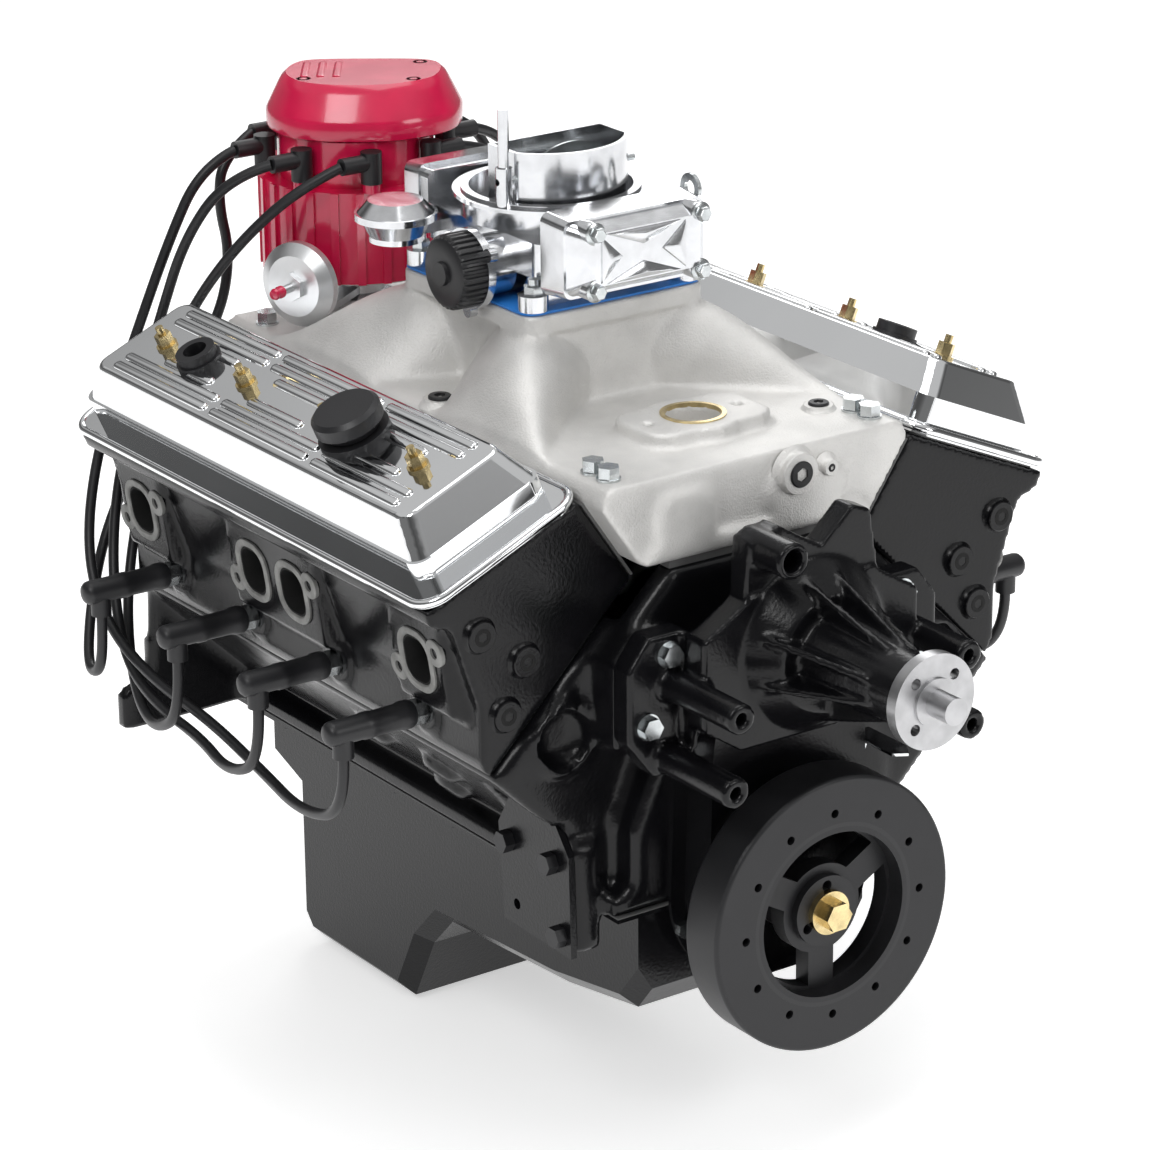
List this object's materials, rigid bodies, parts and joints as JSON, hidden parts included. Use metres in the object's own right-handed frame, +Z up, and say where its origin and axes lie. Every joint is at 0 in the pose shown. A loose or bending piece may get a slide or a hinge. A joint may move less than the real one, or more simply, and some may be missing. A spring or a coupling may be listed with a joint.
{
  "type": "v8 engine",
  "caption": "Complete pushrod V8 car engine with carburettor, distributor, plug leads, water pump and balancer; the crank turns the cam and distributor.",
  "frame": {"origin": "on the crankshaft axis at the rear face of the block, in the middle of the flywheel flange", "axes": "+Y toward the rear (gearbox side) along the crankshaft, +X toward the driver's side (left bank), +Z up"},
  "size_m": [0.584, 0.7615, 0.713],
  "materials": {
    "black_paint": "gloss",
    "chrome": "mirror polish",
    "black_cover": "gloss",
    "cast_aluminium": "as cast, fine grain",
    "polished_alloy": "polished",
    "machined_alloy": "machined",
    "red_plastic": "gloss",
    "silver_paint": "satin",
    "black_plastic": "satin",
    "black_rubber": "matt",
    "black_iron": "black oxide, satin",
    "blue_gasket": "matt",
    "gasket": "matt",
    "zinc": "zinc plated",
    "black_steel": "satin",
    "brass_plate": "yellow zinc",
    "machined_steel": "machined",
    "bearing_alloy": "satin",
    "plug_steel": "zinc plated"
  },
  "bodies": {
    "engine": {"bearings": "bearing_alloy", "black_bolts": "black_steel", "carb_gasket": "blue_gasket", "carb_main_body": "polished_alloy", "carb_throttle_body": "polished_alloy", "choke_cap": "black_plastic", "choke_housing": "polished_alloy", "coil_cover": "red_plastic", "cover_bolts": "brass_plate", "cover_grommets": "black_rubber", "cylinder_block": "black_paint", "distributor_cap": "red_plastic", "distributor_housing": "machined_alloy", "fuel_bowls": "polished_alloy", "fuel_pump_plate": "black_paint", "gaskets": "gasket", "head_left": "black_paint", "head_right": "black_paint", "intake_manifold": "cast_aluminium", "lead_boots": "black_rubber", "main_caps": "black_paint", "metering_blocks": "polished_alloy", "oil_filter": "black_steel", "oil_pan": "black_paint", "pistons": "machined_alloy", "plug_lead_left_1": "black_rubber", "plug_lead_left_2": "black_rubber", "plug_lead_left_3": "black_rubber", "plug_lead_left_4": "black_rubber", "plug_lead_right_1": "black_rubber", "plug_lead_right_2": "black_rubber", "plug_lead_right_3": "black_rubber", "plug_lead_right_4": "black_rubber", "pump_back_plate": "zinc", "spark_plugs": "plug_steel", "timing_chain": "machined_steel", "timing_cover": "black_cover", "timing_tab": "chrome", "vacuum_advance": "silver_paint", "vacuum_diaphragm": "polished_alloy", "valve_cover_left": "chrome", "valve_cover_right": "chrome", "valve_gear": "machined_steel", "valves": "machined_steel", "water_pump_housing": "black_paint", "zinc_bolts": "zinc"},
    "crank": {"crankshaft": "machined_steel", "crank_sprocket": "machined_steel", "balancer_hub": "black_iron", "balancer_rubber": "black_rubber", "balancer_ring": "black_iron", "crank_bolt": "brass_plate"},
    "cam": {"camshaft": "machined_steel", "cam_sprocket": "machined_steel"},
    "distributor_shaft": {"distributor_rotor": "black_plastic"},
    "pump_shaft": {"pump_hub": "machined_steel"},
    "primary_shaft": {"primary_throttle": "zinc"},
    "secondary_shaft": {"secondary_throttle": "zinc"},
    "choke_shaft": {"choke_plate": "zinc"},
    "oil_cap": {"oil_filler_cap": "black_plastic"}
  },
  "joints": [
    {"name": "crank_turn", "type": "hinge", "parent": "engine", "child": "crank", "pos_m": [0, -0.25, 0], "axis": [0, 1, 0], "continuous": true},
    {"name": "cam_turn", "type": "hinge", "parent": "engine", "child": "cam", "pos_m": [0, -0.25, 0.1148], "axis": [0, 1, 0], "continuous": true},
    {"name": "distributor_turn", "type": "hinge", "parent": "engine", "child": "distributor_shaft", "pos_m": [-0.023, -0.035, 0.25], "axis": [0, 0, 1], "continuous": true},
    {"name": "pump_turn", "type": "hinge", "parent": "engine", "child": "pump_shaft", "pos_m": [0, -0.62, 0.193], "axis": [0, 1, 0], "continuous": true},
    {"name": "primary_throttle_turn", "type": "hinge", "parent": "engine", "child": "primary_shaft", "pos_m": [0, -0.2825, 0.3936], "axis": [-1, 0, 0], "range_deg": [0, 75], "stiffness_Nm_per_rad": 0.06, "springref_deg": -22.92},
    {"name": "secondary_throttle_turn", "type": "hinge", "parent": "engine", "child": "secondary_shaft", "pos_m": [0, -0.2395, 0.3936], "axis": [-1, 0, 0], "range_deg": [0, 75], "stiffness_Nm_per_rad": 0.03, "springref_deg": -22.92},
    {"name": "choke_turn", "type": "hinge", "parent": "engine", "child": "choke_shaft", "pos_m": [0, -0.287, 0.466], "axis": [1, 0, 0], "range_deg": [0, 75]},
    {"name": "oil_cap_lift", "type": "slide", "parent": "engine", "child": "oil_cap", "axis": [-0.3987, 0, 0.9171], "range_m": [0, 0.05]}
  ],
  "couplings": [
    {"joint": "cam_turn", "follows": "crank_turn", "ratio": 0.5},
    {"joint": "distributor_turn", "follows": "crank_turn", "ratio": -0.5}
  ]
}
